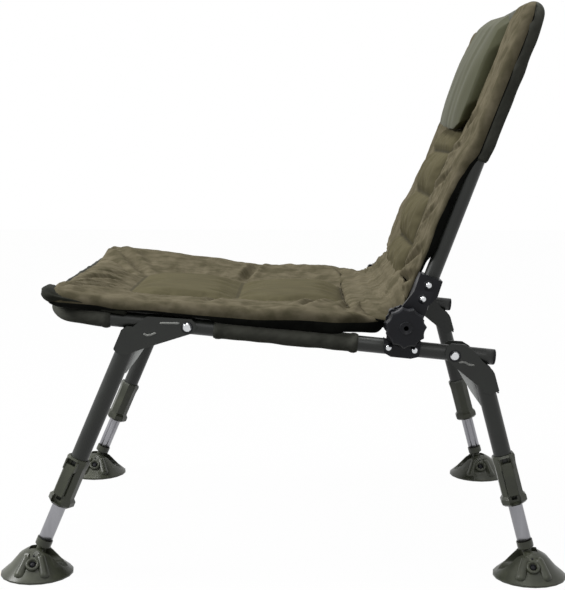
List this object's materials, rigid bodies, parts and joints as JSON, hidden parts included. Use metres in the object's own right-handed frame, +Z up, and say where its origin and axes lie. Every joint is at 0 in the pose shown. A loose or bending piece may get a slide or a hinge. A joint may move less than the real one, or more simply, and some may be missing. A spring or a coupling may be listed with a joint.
{
  "type": "folding padded fishing chair",
  "caption": "Low folding chair with a quilted seat, a reclining padded back with a headrest, and telescopic legs on tilting round mud feet.",
  "frame": {"origin": "centre of the bounding box at floor level", "axes": "+Z up, the chair faces -Y, X across"},
  "size_m": [0.635, 0.804, 0.8012],
  "materials": {
    "silver_tube": "satin",
    "olive_plastic": "satin moulded",
    "bright_bolt": "polished",
    "zinc_plate": "zinc plated",
    "black_plastic": "fine grain",
    "sleeve_cloth": "plain weave",
    "pillow_satin": "satin",
    "fleece": "brushed fleece",
    "painted_tube": "satin powder coat"
  },
  "bodies": {
    "seat": {"front_left_pivot_bolt": "bright_bolt", "front_right_pivot_bolt": "bright_bolt", "front_sleeve": "sleeve_cloth", "hinge_roll": "fleece", "left_hinge_bolt": "zinc_plate", "left_lower_saddle": "black_plastic", "left_rail_end_cap": "black_plastic", "left_rail_sleeve": "sleeve_cloth", "left_toothed_disc": "black_plastic", "rear_cross_tube": "painted_tube", "rear_left_pivot_bolt": "bright_bolt", "rear_right_pivot_bolt": "bright_bolt", "right_hinge_bolt": "zinc_plate", "right_lower_saddle": "black_plastic", "right_rail_end_cap": "black_plastic", "right_rail_sleeve": "sleeve_cloth", "right_toothed_disc": "black_plastic", "seat_frame": "painted_tube", "seat_pad": "fleece"},
    "back": {"back_frame": "painted_tube", "back_sleeve": "sleeve_cloth", "back_pad": "fleece", "headrest_pillow": "pillow_satin", "left_upper_clamp": "black_plastic", "right_upper_clamp": "black_plastic"},
    "left_knob": {"left_knob": "black_plastic"},
    "front_left_leg": {"front_left_outer_tube": "painted_tube", "front_left_bracket": "painted_tube", "front_left_lock_body": "olive_plastic", "front_left_gusset": "zinc_plate"},
    "front_left_inner_leg": {"front_left_inner_tube": "silver_tube", "front_left_ankle_socket": "olive_plastic"},
    "front_left_lever": {"front_left_lock_lever": "olive_plastic"},
    "front_left_foot": {"front_left_mud_foot": "olive_plastic"},
    "rear_left_leg": {"rear_left_outer_tube": "painted_tube", "rear_left_bracket": "painted_tube", "rear_left_lock_body": "olive_plastic", "rear_left_gusset": "zinc_plate"},
    "rear_left_inner_leg": {"rear_left_inner_tube": "silver_tube", "rear_left_ankle_socket": "olive_plastic"},
    "rear_left_lever": {"rear_left_lock_lever": "olive_plastic"},
    "rear_left_foot": {"rear_left_mud_foot": "olive_plastic"},
    "right_knob": {"right_knob": "black_plastic"},
    "front_right_leg": {"front_right_outer_tube": "painted_tube", "front_right_bracket": "painted_tube", "front_right_lock_body": "olive_plastic"},
    "front_right_inner_leg": {"front_right_inner_tube": "silver_tube", "front_right_ankle_socket": "olive_plastic"},
    "front_right_lever": {"front_right_lock_lever": "olive_plastic"},
    "front_right_foot": {"front_right_mud_foot": "olive_plastic"},
    "rear_right_leg": {"rear_right_outer_tube": "painted_tube", "rear_right_bracket": "painted_tube", "rear_right_lock_body": "olive_plastic"},
    "rear_right_inner_leg": {"rear_right_inner_tube": "silver_tube", "rear_right_ankle_socket": "olive_plastic"},
    "rear_right_lever": {"rear_right_lock_lever": "olive_plastic"},
    "rear_right_foot": {"rear_right_mud_foot": "olive_plastic"}
  },
  "joints": [
    {"name": "recline", "type": "hinge", "parent": "seat", "child": "back", "pos_m": [0, 0.16808, 0.36257], "axis": [1, 0, 0], "range_deg": [-48, 75]},
    {"name": "left_knob_turn", "type": "hinge", "parent": "seat", "child": "left_knob", "pos_m": [0.3, 0.16808, 0.36257], "axis": [1, 0, 0], "continuous": true},
    {"name": "front_left_leg_fold", "type": "hinge", "parent": "seat", "child": "front_left_leg", "pos_m": [0.266, -0.13165, 0.3582], "axis": [-1, 0, 0], "range_deg": [-101, 0]},
    {"name": "front_left_leg_length", "type": "slide", "parent": "front_left_leg", "child": "front_left_inner_leg", "axis": [0, -0.3973, -0.9177], "range_m": [-0.034, 0.1]},
    {"name": "front_left_lever_open", "type": "hinge", "parent": "front_left_leg", "child": "front_left_lever", "pos_m": [0.28235, -0.29677, 0.16119], "axis": [0.342, 0.8623, -0.3733], "range_deg": [-100, 0]},
    {"name": "front_left_foot_tilt", "type": "hinge", "parent": "front_left_inner_leg", "child": "front_left_foot", "pos_m": [0.266, -0.35054, 0.022], "axis": [-1, 0, 0], "range_deg": [-66, 25]},
    {"name": "rear_left_leg_fold", "type": "hinge", "parent": "seat", "child": "rear_left_leg", "pos_m": [0.266, 0.23823, 0.31947], "axis": [-1, 0, 0], "range_deg": [0, 103]},
    {"name": "rear_left_leg_length", "type": "slide", "parent": "rear_left_leg", "child": "rear_left_inner_leg", "axis": [0, -0.2585, 0.966], "range_m": [-0.1, 0.033]},
    {"name": "rear_left_lever_open", "type": "hinge", "parent": "rear_left_leg", "child": "rear_left_lever", "pos_m": [0.2834, 0.31198, 0.16612], "axis": [0, 0.966, 0.2585], "range_deg": [-100, 0]},
    {"name": "rear_left_foot_tilt", "type": "hinge", "parent": "rear_left_inner_leg", "child": "rear_left_foot", "pos_m": [0.266, 0.35054, 0.022], "axis": [-1, 0, 0], "range_deg": [-15, 75]},
    {"name": "right_knob_turn", "type": "hinge", "parent": "seat", "child": "right_knob", "pos_m": [-0.3, 0.16808, 0.36257], "axis": [1, 0, 0], "continuous": true},
    {"name": "front_right_leg_fold", "type": "hinge", "parent": "seat", "child": "front_right_leg", "pos_m": [-0.266, -0.13165, 0.3582], "axis": [-1, 0, 0], "range_deg": [-101, 0]},
    {"name": "front_right_leg_length", "type": "slide", "parent": "front_right_leg", "child": "front_right_inner_leg", "axis": [0, -0.3973, -0.9177], "range_m": [-0.034, 0.1]},
    {"name": "front_right_lever_open", "type": "hinge", "parent": "front_right_leg", "child": "front_right_lever", "pos_m": [-0.28235, -0.29677, 0.16119], "axis": [0.342, -0.8623, 0.3733], "range_deg": [-100, 0]},
    {"name": "front_right_foot_tilt", "type": "hinge", "parent": "front_right_inner_leg", "child": "front_right_foot", "pos_m": [-0.266, -0.35054, 0.022], "axis": [-1, 0, 0], "range_deg": [-66, 25]},
    {"name": "rear_right_leg_fold", "type": "hinge", "parent": "seat", "child": "rear_right_leg", "pos_m": [-0.266, 0.23823, 0.31947], "axis": [-1, 0, 0], "range_deg": [0, 103]},
    {"name": "rear_right_leg_length", "type": "slide", "parent": "rear_right_leg", "child": "rear_right_inner_leg", "axis": [0, -0.2585, 0.966], "range_m": [-0.1, 0.033]},
    {"name": "rear_right_lever_open", "type": "hinge", "parent": "rear_right_leg", "child": "rear_right_lever", "pos_m": [-0.2834, 0.31198, 0.16612], "axis": [0, -0.966, -0.2585], "range_deg": [-100, 0]},
    {"name": "rear_right_foot_tilt", "type": "hinge", "parent": "rear_right_inner_leg", "child": "rear_right_foot", "pos_m": [-0.266, 0.35054, 0.022], "axis": [-1, 0, 0], "range_deg": [-15, 75]}
  ]
}
